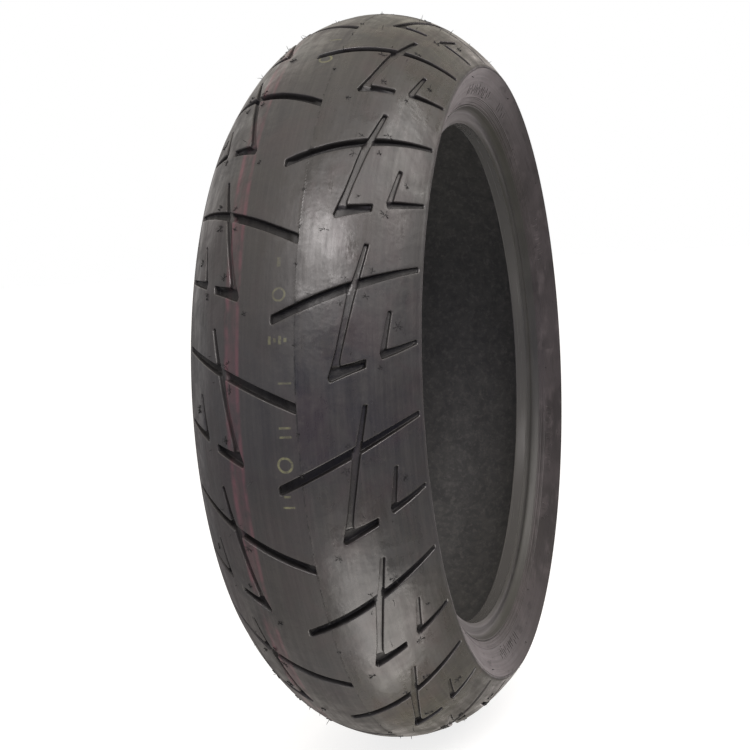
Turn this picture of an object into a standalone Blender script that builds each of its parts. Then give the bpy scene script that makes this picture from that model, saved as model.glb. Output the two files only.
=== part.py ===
"""Rear radial motorcycle tyre, 180/55 R17, tubeless, new and off its wheel.

The tyre stands upright with its turning axis along Y and its centre at the origin.
It rolls towards +X, so +Y is its left side and -Y its right side. Lengths are metres.

The bonded rubber and cord pieces of the real casing are separate solids that nest
inside one another with a hair gap between them:
tread cap (with the moulded grooves), tread base, crown belt, carcass ply turned up
round both beads, inner liner, and on each side a bead core, a bead filler, a sidewall
and a chafer, which is the strip that touches the wheel rim.
"""

import math

import bmesh
import bpy
from mathutils import Vector
from mathutils.geometry import delaunay_2d_cdt

# Overall section, all measured on the unmounted tyre.
OUTER_RADIUS = 0.315
CROWN_RADIUS = 0.1015
CROWN_ANGLE = math.radians(40.0)
SHOULDER_RADIUS = 0.140
TREAD_EDGE_ARC = 0.107
SIDEWALL_CURVE = ((0.0781, 0.2392), (0.0829, 0.2480), (0.0870, 0.2568))
RIM_LINE = (0.0728, 0.2322)
FLANGE_HALF_WIDTH = 0.0665
FLANGE_FACE = (0.2223, 0.2270)
WING_TIP = (0.0901, 0.2626)
HEEL = (0.0628, 0.2179)
TOE = (0.0534, 0.2171)

# Build-up of the crown, from the tread surface inwards.
GAP = 0.0003
CAP_THICKNESS = 0.0075
BASE_THICKNESS = 0.0015
BELT_THICKNESS = 0.0011
PLY_THICKNESS = 0.0012
LINER_THICKNESS = 0.0015
BASE_DEPTH = CAP_THICKNESS + GAP
BELT_DEPTH = BASE_DEPTH + BASE_THICKNESS + GAP
PLY_DEPTH = BELT_DEPTH + BELT_THICKNESS + GAP

# Arc lengths from the crown centre at which the nested crown pieces have their corners.
CROWN_STATIONS = (0.0118, 0.0354, 0.0590, 0.0826)
BASE_END = 0.0905
WING_START = 0.0945

# Middle line of the carcass ply on one side: down the sidewall, under the bead core
# and up again to the end of the turn-up.
PLY_WALL = ((0.0785, 0.2635), (0.0818, 0.2530), (0.0715, 0.2420), (0.0582, 0.2300))
PLY_UNDER_BEAD = ((0.0559, 0.2195), (0.0634, 0.2195))
PLY_TURN_UP = ((0.0634, 0.2270), (0.0744, 0.2393))
BEAD_CORE_TOP = 0.2262

# Tread pattern: equal pitches on each half, the right half turned by half a pitch.
PITCHES = 16
STEPS = 36
PATTERN_PHASE = math.radians(-4.95)
GROOVE_RISE = math.radians(0.0805) / 0.001
CROSSING_ARC = 0.052
GROOVE_HALF_ANGLE = math.radians(0.72)
GROOVE_TIP_HALF_ANGLE = math.radians(0.45)
GROOVE_OUTER_END = 0.1045
LEFT_GROOVE_START = -0.0065
RIGHT_GROOVE_START = -0.0105
MAIN_DEPTH = 0.0060
MAIN_TIP_DEPTH = 0.0018
CROSS_DEPTH = 0.0030
FOOT_DEPTH = 0.0052
HOOK_DEPTH = 0.0042
HOOK_LEG_DEPTH = 0.0022

RUBBER = {
    "tread_cap": ((0.050, 0.046, 0.043), 0.52),
    "tread_base": ((0.030, 0.029, 0.029), 0.70),
    "crown_belt": ((0.120, 0.100, 0.070), 0.60),
    "carcass_ply": ((0.160, 0.120, 0.075), 0.75),
    "inner_liner": ((0.028, 0.027, 0.026), 0.60),
    "sidewall": ((0.045, 0.044, 0.045), 0.60),
    "chafer": ((0.032, 0.033, 0.037), 0.50),
    "bead_filler": ((0.025, 0.025, 0.027), 0.65),
}
BEAD_WIRE = ((0.42, 0.36, 0.27), 0.35)


def clear_scene():
    for item in list(bpy.data.objects):
        bpy.data.objects.remove(item, do_unlink=True)


def material(name, colour, roughness, metallic=0.0):
    mat = bpy.data.materials.new(name)
    mat.use_nodes = True
    shader = mat.node_tree.nodes["Principled BSDF"]
    shader.inputs["Base Color"].default_value = (*colour, 1.0)
    shader.inputs["Roughness"].default_value = roughness
    shader.inputs["Metallic"].default_value = metallic
    mat.diffuse_color = (*colour, 1.0)
    return mat


def crown_point(arc, depth):
    """Section point (y, r) at an arc length from the crown centre, below the tread surface."""
    side = -1.0 if arc < 0.0 else 1.0
    along = abs(arc)
    centre_y = 0.0
    centre_r = OUTER_RADIUS - CROWN_RADIUS
    radius = CROWN_RADIUS
    angle = along / CROWN_RADIUS
    if angle > CROWN_ANGLE:
        shift = CROWN_RADIUS - SHOULDER_RADIUS
        centre_y += shift * math.sin(CROWN_ANGLE)
        centre_r += shift * math.cos(CROWN_ANGLE)
        angle = CROWN_ANGLE + (along - CROWN_RADIUS * CROWN_ANGLE) / SHOULDER_RADIUS
        radius = SHOULDER_RADIUS
    y = centre_y + (radius - depth) * math.sin(angle)
    r = centre_r + (radius - depth) * math.cos(angle)
    return side * y, r


def crown_line(depth, stations):
    """Crown polyline from the right side (-Y) to the left side (+Y) at one depth."""
    arcs = [-s for s in reversed(stations)] + list(stations)
    return [crown_point(arc, depth) for arc in arcs]


def mirrored(points):
    return [(-y, r) for y, r in points]


def offset_line(points, distance):
    """Open polyline moved sideways by a distance, to the left of its direction, mitred."""
    moved = []
    last = len(points) - 1
    for i, (y, r) in enumerate(points):
        before = points[max(i - 1, 0)]
        after = points[min(i + 1, last)]
        here = Vector((y, r))
        first = (here - Vector(before)).normalized() if i > 0 else None
        second = (Vector(after) - here).normalized() if i < last else None
        first = first or second
        second = second or first
        normal_a = Vector((-first.y, first.x))
        normal_b = Vector((-second.y, second.x))
        mitre = (normal_a + normal_b).normalized()
        shift = mitre * (distance / mitre.dot(normal_a))
        moved.append((y + shift.x, r + shift.y))
    return moved


def between(a, b, share):
    return a[0] + (b[0] - a[0]) * share, a[1] + (b[1] - a[1]) * share


def at_radius(a, b, radius):
    return between(a, b, (radius - a[1]) / (b[1] - a[1]))


def ply_line():
    """Middle line of the ply, from the right turn-up over the crown to the left turn-up."""
    side = list(PLY_WALL) + list(PLY_UNDER_BEAD) + list(PLY_TURN_UP)
    crown = crown_line(PLY_DEPTH + PLY_THICKNESS / 2, CROWN_STATIONS)
    return mirrored(reversed(side)) + crown + side


def add_object(name, mesh, mat):
    item = bpy.data.objects.new(name, mesh)
    bpy.context.collection.objects.link(item)
    item.data.materials.append(mat)
    return item


def area(profile):
    total = 0.0
    for (y0, r0), (y1, r1) in zip(profile, profile[1:] + profile[:1]):
        total += y0 * r1 - y1 * r0
    return total / 2


def turned(name, profile, mat):
    """Closed section (y, r) turned round the Y axis by a Screw modifier."""
    if area(profile) < 0.0:
        profile = profile[::-1]
    mesh = bpy.data.meshes.new(name)
    verts = [(r, y, 0.0) for y, r in profile]
    count = len(verts)
    edges = [(i, (i + 1) % count) for i in range(count)]
    mesh.from_pydata(verts, edges, [])
    item = add_object(name, mesh, mat)
    screw = item.modifiers.new("turn", "SCREW")
    screw.axis = "Y"
    screw.angle = math.tau
    screw.steps = STEPS
    screw.render_steps = STEPS
    screw.use_merge_vertices = True
    screw.merge_threshold = 0.00001
    screw.use_smooth_shade = True
    return item


def groove_middle(arc):
    return GROOVE_RISE * (arc - CROSSING_ARC)


def groove_half(arc):
    share = (arc - CROSSING_ARC) / (GROOVE_OUTER_END - CROSSING_ARC)
    share = min(max(share, 0.0), 1.0)
    return GROOVE_HALF_ANGLE + (GROOVE_TIP_HALF_ANGLE - GROOVE_HALF_ANGLE) * share


def groove_edge(arc, side):
    return arc, groove_middle(arc) + side * groove_half(arc)


def pitch_cells(start):
    """Floors of one pitch of the pattern as closed outlines.

    Each outline point is (arc from the crown centre, angle from the crossing), for the
    half on +Y. A cell is (outline, depth at the crossing, depth at the outer end).
    """
    deg = math.radians
    end = groove_middle(start)
    inner = [(start, end + GROOVE_HALF_ANGLE * 0.55), (start, end - GROOVE_HALF_ANGLE * 0.55)]
    low = [groove_edge(s, -1.0) for s in (start + 0.0016, 0.014, 0.031, 0.0480)]
    high = [groove_edge(s, 1.0) for s in (0.0515, 0.034, 0.016, start + 0.0016)]
    main_in = inner + low + high
    out_low = [groove_edge(s, -1.0) for s in (0.0555, 0.072, 0.088, GROOVE_OUTER_END - 0.001)]
    out_high = [groove_edge(s, 1.0) for s in (GROOVE_OUTER_END - 0.001, 0.088, 0.072, 0.0575)]
    tip = [(GROOVE_OUTER_END, groove_middle(GROOVE_OUTER_END))]
    main_out = out_low + tip + out_high
    leg_left = [(0.0455, deg(-4.2)), (0.0420, deg(-7.6))]
    leg_right = [(0.0475, deg(-7.2)), (0.0515, deg(-3.8))]
    step_left = (0.0370, deg(-11.1))
    step_right = (0.0436, deg(-10.9))
    upper_leg = [(0.0603, deg(3.6)), (0.0629, deg(6.1)), (0.0612, deg(6.6))]
    upper_leg += [(0.0594, deg(6.1)), (0.0556, deg(3.6))]
    cross = [low[-1]] + leg_left + [step_left, step_right] + leg_right
    cross += [out_low[0], out_high[-1]] + upper_leg + [high[0]]
    foot = [step_left, (0.0347, deg(-12.5)), (0.0361, deg(-13.0)), (0.0490, deg(-12.15))]
    foot += [(0.0622, deg(-11.3)), (0.0630, deg(-10.0)), (0.0535, deg(-10.45)), step_right]
    hook_step = [(0.0733, deg(-9.2)), (0.0784, deg(-8.6))]
    hook_leg = [hook_step[0], hook_step[1], (0.0806, deg(-5.7)), (0.0828, deg(-3.0))]
    hook_leg += [(0.0813, deg(-2.6)), (0.0798, deg(-3.0)), (0.0763, deg(-6.0))]
    hook = [hook_step[0], (0.0745, deg(-10.0)), (0.0890, deg(-8.75)), (0.1045, deg(-7.45))]
    hook += [(0.1045, deg(-6.85)), (0.0910, deg(-7.75)), hook_step[1]]
    return [
        (main_in, MAIN_DEPTH, MAIN_DEPTH),
        (main_out, MAIN_DEPTH, MAIN_TIP_DEPTH),
        (cross, CROSS_DEPTH, CROSS_DEPTH),
        (foot, FOOT_DEPTH, FOOT_DEPTH),
        (hook_leg, HOOK_LEG_DEPTH, HOOK_LEG_DEPTH),
        (hook, HOOK_DEPTH, MAIN_TIP_DEPTH),
    ]


def cell_depth(cell, arc):
    outline, depth_in, depth_out = cell
    share = (abs(arc) - CROSSING_ARC) / (GROOVE_OUTER_END - CROSSING_ARC)
    share = min(max(share, 0.0), 1.0)
    return depth_in + (depth_out - depth_in) * share


def all_cells():
    """Every groove floor round the tyre, on both halves, as (arc, angle) outlines."""
    cells = []
    pitch = math.tau / PITCHES
    for index in range(PITCHES):
        for side, start, lag in ((1.0, LEFT_GROOVE_START, 0.0), (-1.0, RIGHT_GROOVE_START, 0.5)):
            turn = PATTERN_PHASE + (index + lag) * pitch
            for outline, depth_in, depth_out in pitch_cells(start):
                placed = [(side * arc, angle + turn) for arc, angle in outline]
                cells.append((placed, depth_in, depth_out))
    return cells


def plane_point(arc, angle):
    """Tread surface laid out flat as a ring, so that its seam closes by itself."""
    scale = math.exp(arc / OUTER_RADIUS)
    return scale * math.cos(angle), scale * math.sin(angle)


def inside(point, outline):
    x, y = point
    odd = False
    for (x0, y0), (x1, y1) in zip(outline, outline[1:] + outline[:1]):
        if (y0 > y) != (y1 > y) and x < x0 + (y - y0) * (x1 - x0) / (y1 - y0):
            odd = not odd
    return odd


def to_segment(point, a, b):
    here = Vector(point)
    start = Vector(a)
    run = Vector(b) - start
    share = min(max((here - start).dot(run) / run.length_squared, 0.0), 1.0)
    return (here - start - run * share).length


def tread_layout():
    """Flat triangulation of the tread: points (arc, angle) and triangles with their cell."""
    cells = all_cells()
    flat_cells = [[plane_point(*p) for p in outline] for outline, _, _ in cells]
    points = []
    flat = []
    lookup = {}
    edges = set()

    def point_index(arc, angle):
        key = (round(arc, 7), round(angle % math.tau, 6))
        if key not in lookup:
            lookup[key] = len(points)
            points.append((arc, angle))
            flat.append(Vector(plane_point(arc, angle)))
        return lookup[key]

    for outline, _, _ in cells:
        ring = [point_index(*p) for p in outline]
        for a, b in zip(ring, ring[1:] + ring[:1]):
            edges.add((min(a, b), max(a, b)))
    stations = [0.0, 0.0154, 0.0307, 0.0461, 0.0615, 0.0768, 0.0922]
    rows = sorted({s for s in stations} | {-s for s in stations})
    for arc in rows:
        for step in range(STEPS):
            angle = step * math.tau / STEPS
            spot = plane_point(arc, angle)
            near = False
            for outline in flat_cells:
                if abs(outline[0][0] - spot[0]) > 0.6 or abs(outline[0][1] - spot[1]) > 0.6:
                    continue
                if inside(spot, outline):
                    near = True
                pairs = zip(outline, outline[1:] + outline[:1])
                if near or min(to_segment(spot, a, b) for a, b in pairs) < 0.008:
                    near = True
                    break
            if not near:
                point_index(arc, angle)
    rims = []
    for arc in (-TREAD_EDGE_ARC, TREAD_EDGE_ARC):
        ring = [point_index(arc, step * math.tau / STEPS) for step in range(STEPS)]
        rims.append(ring)
        for a, b in zip(ring, ring[1:] + ring[:1]):
            edges.add((min(a, b), max(a, b)))
    out, _, faces, origin, _, _ = delaunay_2d_cdt(flat, sorted(edges), [], 0, 1e-7)
    source = [ids[0] for ids in origin]
    triangles = []
    small = math.exp(-TREAD_EDGE_ARC / OUTER_RADIUS) * math.cos(math.pi / STEPS) * 0.999
    for face in faces:
        ids = [source[i] for i in face]
        middle = sum((flat[i] for i in ids), Vector((0.0, 0.0))) / 3
        if middle.length < small and all(i in rims[0] for i in ids):
            continue
        cell = None
        for index, outline in enumerate(flat_cells):
            if abs(outline[0][0] - middle.x) > 0.6 or abs(outline[0][1] - middle.y) > 0.6:
                continue
            if inside(middle, outline):
                cell = index
                break
        triangles.append((ids, cell))
    return cells, points, triangles, rims


def strip(bm, chain_a, chain_b):
    """Fill between two chains of vertices that start and end together."""
    i = 0
    j = 0
    while i < len(chain_a) - 1 or j < len(chain_b) - 1:
        left = (i + 1) / max(len(chain_a) - 1, 1) if i < len(chain_a) - 1 else 2.0
        right = (j + 1) / max(len(chain_b) - 1, 1) if j < len(chain_b) - 1 else 2.0
        if left <= right:
            corners = (chain_a[i], chain_a[i + 1], chain_b[j])
            i += 1
        else:
            corners = (chain_a[i], chain_b[j + 1], chain_b[j])
            j += 1
        if len(set(corners)) == 3:
            bm.faces.new(corners)


def tread_cap(mat):
    """Tread rubber with every groove sunk to its own depth, and a plain underside."""
    cells, points, triangles, rims = tread_layout()
    bm = bmesh.new()
    levels = {}
    for ids, cell in triangles:
        for i in ids:
            depth = 0.0 if cell is None else cell_depth(cells[cell], points[i][0])
            levels.setdefault(i, {})[round(depth, 6)] = None
    for i, table in levels.items():
        arc, angle = points[i]
        for depth in table:
            y, r = crown_point(arc, depth)
            table[depth] = bm.verts.new((r * math.cos(angle), y, r * math.sin(angle)))

    def level(i, cell):
        depth = 0.0 if cell is None else cell_depth(cells[cell], points[i][0])
        return round(depth, 6)

    halves = {}
    for ids, cell in triangles:
        bm.faces.new([levels[i][level(i, cell)] for i in ids])
        for a, b in zip(ids, ids[1:] + ids[:1]):
            halves[(a, b)] = cell
    for (a, b), upper in halves.items():
        if (b, a) not in halves:
            continue
        lower = halves[(b, a)]
        if level(a, upper) + level(b, upper) >= level(a, lower) + level(b, lower):
            continue
        chains = []
        for i in (a, b):
            span = [d for d in sorted(levels[i]) if level(i, upper) <= d <= level(i, lower)]
            chains.append([levels[i][d] for d in span])
        strip(bm, chains[0], chains[1])

    under = [WING_TIP, crown_point(WING_START, CAP_THICKNESS)]
    under += [crown_point(s, CAP_THICKNESS) for s in reversed(CROWN_STATIONS)]
    under += mirrored(reversed(under))
    rings = [[levels[i][0.0] for i in rims[1]]]
    for y, r in under:
        ring = []
        for step in range(STEPS):
            angle = step * math.tau / STEPS
            ring.append(bm.verts.new((r * math.cos(angle), y, r * math.sin(angle))))
        rings.append(ring)
    rings.append([levels[i][0.0] for i in rims[0]])
    for ring_a, ring_b in zip(rings, rings[1:]):
        for j in range(STEPS):
            k = (j + 1) % STEPS
            bm.faces.new((ring_a[j], ring_a[k], ring_b[k], ring_b[j]))
    bmesh.ops.recalc_face_normals(bm, faces=bm.faces)
    mesh = bpy.data.meshes.new("tread_cap")
    bm.to_mesh(mesh)
    bm.free()
    item = add_object("tread_cap", mesh, mat)
    mesh.shade_smooth()
    mesh.set_sharp_from_angle(angle=math.radians(30.0))
    return item


def crown_pieces():
    """Tread base and belt, which lie between the cap and the carcass ply."""
    outer = crown_line(BASE_DEPTH, CROWN_STATIONS)
    inner = crown_line(BASE_DEPTH + BASE_THICKNESS, CROWN_STATIONS)
    tip = crown_point(BASE_END, BASE_DEPTH + 0.0009)
    base = outer + [tip] + inner[::-1] + mirrored([tip])
    turned("tread_base", base, material("tread_base_rubber", *RUBBER["tread_base"]))
    outer = crown_line(BELT_DEPTH, CROWN_STATIONS)
    inner = crown_line(BELT_DEPTH + BELT_THICKNESS, CROWN_STATIONS)
    belt = outer + inner[::-1]
    turned("crown_belt", belt, material("belt_cord", *RUBBER["crown_belt"]))


def casing_pieces():
    """Carcass ply with its turn-ups, and the air-tight liner inside it."""
    line = ply_line()
    half = PLY_THICKNESS / 2
    ply = offset_line(line, half) + offset_line(line, -half)[::-1]
    turned("carcass_ply", ply, material("ply_cord", *RUBBER["carcass_ply"]))
    near = offset_line(line, -half - GAP)
    far = offset_line(line, -half - GAP - LINER_THICKNESS)
    side = len(PLY_UNDER_BEAD) + len(PLY_TURN_UP)
    stop_near = at_radius(near[-side - 1], near[-side], 0.2275)
    stop_far = at_radius(far[-side - 1], far[-side], 0.2280)
    near = near[side:-side]
    far = far[side:-side]
    outer = mirrored([stop_near]) + near + [stop_near]
    inner = mirrored([stop_far]) + far + [stop_far]
    liner = outer + inner[::-1]
    turned("inner_liner", liner, material("liner_rubber", *RUBBER["inner_liner"]))


def bead_pieces():
    """Bead core, filler, chafer and sidewall of the two sides."""
    line = ply_line()
    half = PLY_THICKNESS / 2
    pocket = offset_line(line, half + GAP)[-7:]
    wall_in = offset_line(line, half + GAP)[-8:]
    skin = offset_line(line, -half - GAP)[-7:]
    wall, lap, corner_in, corner_out, turn, end = pocket[1:]
    core = [
        at_radius(lap, corner_in, BEAD_CORE_TOP), corner_in, corner_out,
        (corner_out[0], BEAD_CORE_TOP),
    ]
    filler_foot = BEAD_CORE_TOP + GAP
    filler = [
        wall, lap, at_radius(lap, corner_in, filler_foot), (turn[0], filler_foot), turn, end,
    ]
    s_wall, s_lap, s_in, s_out, s_turn, s_end = skin[1:]
    flange_low = (FLANGE_HALF_WIDTH, FLANGE_FACE[0])
    flange_high = (FLANGE_HALF_WIDTH, FLANGE_FACE[1])
    hollow = (FLANGE_HALF_WIDTH + 0.0013, FLANGE_FACE[1] + 0.0018)
    chafer_top = between(s_turn, s_end, 0.36)
    chafer = [
        at_radius(s_lap, s_in, 0.2269), s_in, s_out, s_turn, chafer_top,
        RIM_LINE, hollow, flange_high, flange_low, HEEL, TOE, (TOE[0] - 0.0004, TOE[1] + 0.0025),
        at_radius(s_lap, s_in, 0.2272),
    ]
    chafer[-1] = (chafer[0][0] - 0.0014, 0.2262)
    lift = 0.0004
    foot_in = between(s_turn, s_end, 0.40)
    foot_out = (RIM_LINE[0] + 0.0003, RIM_LINE[1] + lift)
    over_end = (s_end[0] + 0.0004, s_end[1] + 0.0004)
    turn_gap = (end[0] + 0.0003, end[1] + 0.0006)
    edge = (WING_TIP[0] + 0.0001, WING_TIP[1] - GAP)
    wing = crown_point(WING_START - 0.0020, CAP_THICKNESS + GAP + 0.0010)
    sidewall = [
        foot_in, foot_out, *SIDEWALL_CURVE, edge,
        wing, wall_in[0], wall_in[1], between(wall_in[1], wall_in[2], 0.96),
        turn_gap, over_end,
    ]
    rubber = RUBBER
    for side, flip in (("left", list), ("right", mirrored)):
        turned("bead_core_" + side, flip(core), material("wire_" + side, *BEAD_WIRE, 0.9))
        turned("bead_filler_" + side, flip(filler),
               material("filler_" + side, *rubber["bead_filler"]))
        turned("chafer_" + side, flip(chafer), material("chafer_" + side, *rubber["chafer"]))
        turned("sidewall_" + side, flip(sidewall),
               material("sidewall_" + side, *rubber["sidewall"]))


def main():
    clear_scene()
    tread_cap(material("tread_rubber", *RUBBER["tread_cap"]))
    crown_pieces()
    casing_pieces()
    bead_pieces()


main()
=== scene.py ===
"""Looks of the rear motorcycle tyre: fine tread, sidewalls, beads and liner, materials, light.

The tyre turns about Y, stands on z = -OUTER_RADIUS and shows its +Y side to the camera.
Lengths in metres. On the tread, "arc" is the distance from the crown's middle round the
section, and angles run from +X towards +Z.
"""
import math
import random

import bpy
import numpy as np
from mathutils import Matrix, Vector
from mathutils.geometry import delaunay_2d_cdt


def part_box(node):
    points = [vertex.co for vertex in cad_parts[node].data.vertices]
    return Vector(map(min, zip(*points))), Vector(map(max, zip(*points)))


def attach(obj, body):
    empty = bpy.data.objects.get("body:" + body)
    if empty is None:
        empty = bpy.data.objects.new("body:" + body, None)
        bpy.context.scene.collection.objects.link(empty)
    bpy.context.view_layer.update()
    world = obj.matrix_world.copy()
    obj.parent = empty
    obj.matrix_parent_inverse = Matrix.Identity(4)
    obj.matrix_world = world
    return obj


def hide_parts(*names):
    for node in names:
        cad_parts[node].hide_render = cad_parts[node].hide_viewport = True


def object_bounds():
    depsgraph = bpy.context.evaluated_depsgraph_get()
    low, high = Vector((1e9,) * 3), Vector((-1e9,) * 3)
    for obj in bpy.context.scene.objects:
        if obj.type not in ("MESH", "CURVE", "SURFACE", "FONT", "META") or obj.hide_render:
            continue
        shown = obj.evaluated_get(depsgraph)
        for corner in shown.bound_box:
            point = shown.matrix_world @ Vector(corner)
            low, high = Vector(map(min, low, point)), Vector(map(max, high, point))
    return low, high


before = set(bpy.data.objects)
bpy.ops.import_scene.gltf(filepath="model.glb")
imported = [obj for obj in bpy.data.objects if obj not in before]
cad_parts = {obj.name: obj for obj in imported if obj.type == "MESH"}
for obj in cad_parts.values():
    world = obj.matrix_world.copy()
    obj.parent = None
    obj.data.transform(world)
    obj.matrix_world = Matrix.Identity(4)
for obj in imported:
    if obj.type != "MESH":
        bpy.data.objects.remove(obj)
cad_low, cad_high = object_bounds()

# ---- dimensions, as in the CAD
OUTER_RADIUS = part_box("tread_cap")[1][2]
CROWN_RADIUS = 0.1015
CROWN_ANGLE = math.radians(40.0)
SHOULDER_RADIUS = 0.140
EDGE_ARC = 0.107
CAP_THICKNESS = 0.0075
CROWN_STATIONS = (0.0826, 0.0590, 0.0354, 0.0118)
WING_START = 0.0945
WING_TIP = (0.0901, 0.2626)
PITCHES = 16
PITCH = math.tau / PITCHES
PHASE = math.radians(-4.95)
RISE = math.radians(0.0805) / 0.001
CROSSING = 0.052
HALF_ANGLE = math.radians(0.72)
TIP_HALF_ANGLE = math.radians(0.45)
OUTER_END = 0.1045
LEFT_START = -0.0070
RIGHT_START = -0.0112
PARTING_ARC = 0.0113
MAIN_DEPTH = 0.0060
TIP_DEPTH = 0.0018
CROSS_DEPTH = 0.0030
FOOT_DEPTH = 0.0052
HOOK_DEPTH = 0.0042
HOOK_LEG_DEPTH = 0.0022

# Mesh steps: open land, groove outlines, and steps round the turned pieces.
LAND_STEP = 0.0028
EDGE_STEP = 0.0014
TURN_STEPS = 480
LAND_CLEARANCE = 0.0007

# Fine relief of the land: the mould line's ridge and step, and the swell beside grooves.
MOULD_RIDGE = 0.00016
MOULD_STEP = 0.00006
SWELL_HEIGHT = 0.00013
SWELL_REACH = 0.0034


def crown_lean(arc):
    """Angle of the tread surface from the middle of the crown, never negative."""
    lean = np.abs(arc) / CROWN_RADIUS
    far = CROWN_ANGLE + (np.abs(arc) - CROWN_RADIUS * CROWN_ANGLE) / SHOULDER_RADIUS
    return np.where(lean > CROWN_ANGLE, far, lean)


def crown_points(arc, depth):
    """Section points (y, r) at arc lengths and depths below the tread surface."""
    lean = crown_lean(arc)
    shoulder = lean > CROWN_ANGLE
    shift = np.where(shoulder, CROWN_RADIUS - SHOULDER_RADIUS, 0.0)
    radius = np.where(shoulder, SHOULDER_RADIUS, CROWN_RADIUS)
    y = shift * math.sin(CROWN_ANGLE) + (radius - depth) * np.sin(lean)
    r = OUTER_RADIUS - CROWN_RADIUS + shift * math.cos(CROWN_ANGLE)
    r = r + (radius - depth) * np.cos(lean)
    return np.where(arc < 0.0, -y, y), r


def crown_normals(arc, angle):
    lean = np.where(arc < 0.0, -1.0, 1.0) * crown_lean(arc)
    out = np.cos(lean)
    return np.stack([out * np.cos(angle), np.sin(lean), out * np.sin(angle)], -1)


def spin(y, r, angle):
    return np.stack(np.broadcast_arrays(r * np.cos(angle), y, r * np.sin(angle)), -1)


# ---- tread pattern, one pitch
def middle(arc):
    return RISE * (arc - CROSSING)


def half(arc):
    share = (arc - CROSSING) / (OUTER_END - CROSSING)
    return HALF_ANGLE + (TIP_HALF_ANGLE - HALF_ANGLE) * min(max(share, 0.0), 1.0)


def low(arc):
    return arc, middle(arc) - half(arc)


def high(arc):
    return arc, middle(arc) + half(arc)


def deg(arc_mm, degrees):
    return arc_mm / 1000.0, math.radians(degrees)


LEG_LEFT = [deg(46.2, -3.5), deg(43.8, -6.0), deg(40.8, -8.6), deg(37.8, -10.6)]
LEG_RIGHT = [deg(43.8, -10.3), deg(46.4, -8.0), deg(49.4, -5.6), deg(52.4, -3.0)]
UPPER_RIGHT = [deg(59.2, 2.8), deg(61.1, 4.6), deg(62.9, 6.3)]
UPPER_LEFT = [deg(59.3, 6.3), deg(57.2, 4.6), deg(54.9, 2.8)]
STEP_LINE = (deg(37.2, -11.1), deg(43.8, -10.9))
HOOK_LINE = (deg(73.3, -9.15), deg(78.4, -8.55))
# The zigzag's foot and the short L-shaped groove near the tread edge, (arc in mm, degrees,
# corner radius).
FOOT = ((34.6, -12.5, 0.0014), (36.0, -13.1, 0.0014), (49.5, -12.1, 0.004),
        (62.4, -11.2, 0.0012), (63.1, -9.95, 0.0012), (53.5, -10.45, 0.004),
        (44.2, -10.85, 0.0008))
HOOK = ((73.1, -9.2, 0.004), (74.4, -10.1, 0.0013), (89.0, -9.0, 0.004),
        (104.6, -7.6, 0.0011), (104.8, -6.85, 0.0011), (91.0, -7.85, 0.004),
        (78.5, -8.6, 0.0009), (80.6, -5.9, 0.006), (82.9, -3.0, 0.0015),
        (79.7, -3.0, 0.0015), (76.4, -6.3, 0.006))


def corners(table):
    return [(*deg(arc, degrees), radius) for arc, degrees, radius in table]


def zigzag(start, sharp):
    """Outline of the main groove with its crossing leg and foot: (arc, angle, corner radius)."""
    end = 0.0012 if sharp else 0.0026
    body = [(*low(start), end)] + [(*low(s), 0.004) for s in (0.014, 0.031)]
    body += [(*low(0.0486), 0.0010)] + [(*p, 0.006) for p in LEG_LEFT]
    body += corners(FOOT) + [(*p, 0.006) for p in LEG_RIGHT]
    body += [(*low(0.0554), 0.0010)] + [(*low(s), 0.004) for s in (0.072, 0.088)]
    body += [(*low(OUTER_END), 0.0014), (*high(OUTER_END), 0.0014)]
    body += [(*high(s), 0.004) for s in (0.088, 0.072)] + [(*high(0.0572), 0.0010)]
    body += [(*p, 0.0015) for p in UPPER_RIGHT] + [(*p, 0.0015) for p in UPPER_LEFT]
    body += [(*high(0.0518), 0.0010)] + [(*high(s), 0.004) for s in (0.034, 0.016)]
    body += [(*high(start), end)]
    return body


def flat(arc, angle):
    """Points of the laid-out tread plane."""
    return np.stack([arc, OUTER_RADIUS * angle], -1)


def unflat(spots):
    return spots[:, 0], spots[:, 1] / OUTER_RADIUS


def signed_area(ring):
    """Twice the area of an outline, positive when it runs counter-clockwise."""
    after = np.roll(ring, -1, axis=0)
    return np.sum(ring[:, 0] * after[:, 1] - after[:, 0] * ring[:, 1])


def rounded(body):
    """Corners turned into arcs and long sides split, in the laid-out tread plane."""
    spots = [flat(arc, angle) for arc, angle, _ in body]
    out = []
    for i, (*_, radius) in enumerate(body):
        here = spots[i]
        back = spots[i - 1] - here
        ahead = spots[(i + 1) % len(spots)] - here
        room = 0.45 * min(np.linalg.norm(back), np.linalg.norm(ahead))
        back = back / np.linalg.norm(back)
        ahead = ahead / np.linalg.norm(ahead)
        opening = math.acos(max(-1.0, min(1.0, float(back @ ahead))))
        reach = min(radius / max(math.tan(opening / 2), 1e-6), room)
        a = here + back * reach
        b = here + ahead * reach
        steps = max(2, round((math.pi - opening) / math.radians(16)))
        for k in range(steps + 1):
            t = k / steps
            out.append(a * (1 - t) ** 2 + here * 2 * t * (1 - t) + b * t * t)
    split = []
    for i, here in enumerate(out):
        after = out[(i + 1) % len(out)]
        gap = np.linalg.norm(after - here)
        if gap < 0.00012:
            continue
        parts = max(1, math.ceil(gap / EDGE_STEP))
        split += [here + (after - here) * k / parts for k in range(parts)]
    ring = np.array(split)
    return ring if signed_area(ring) > 0 else ring[::-1]


def sides(ring):
    """The side before and the side after each point of an outline."""
    return ring - np.roll(ring, 1, axis=0), np.roll(ring, -1, axis=0) - ring


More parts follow.
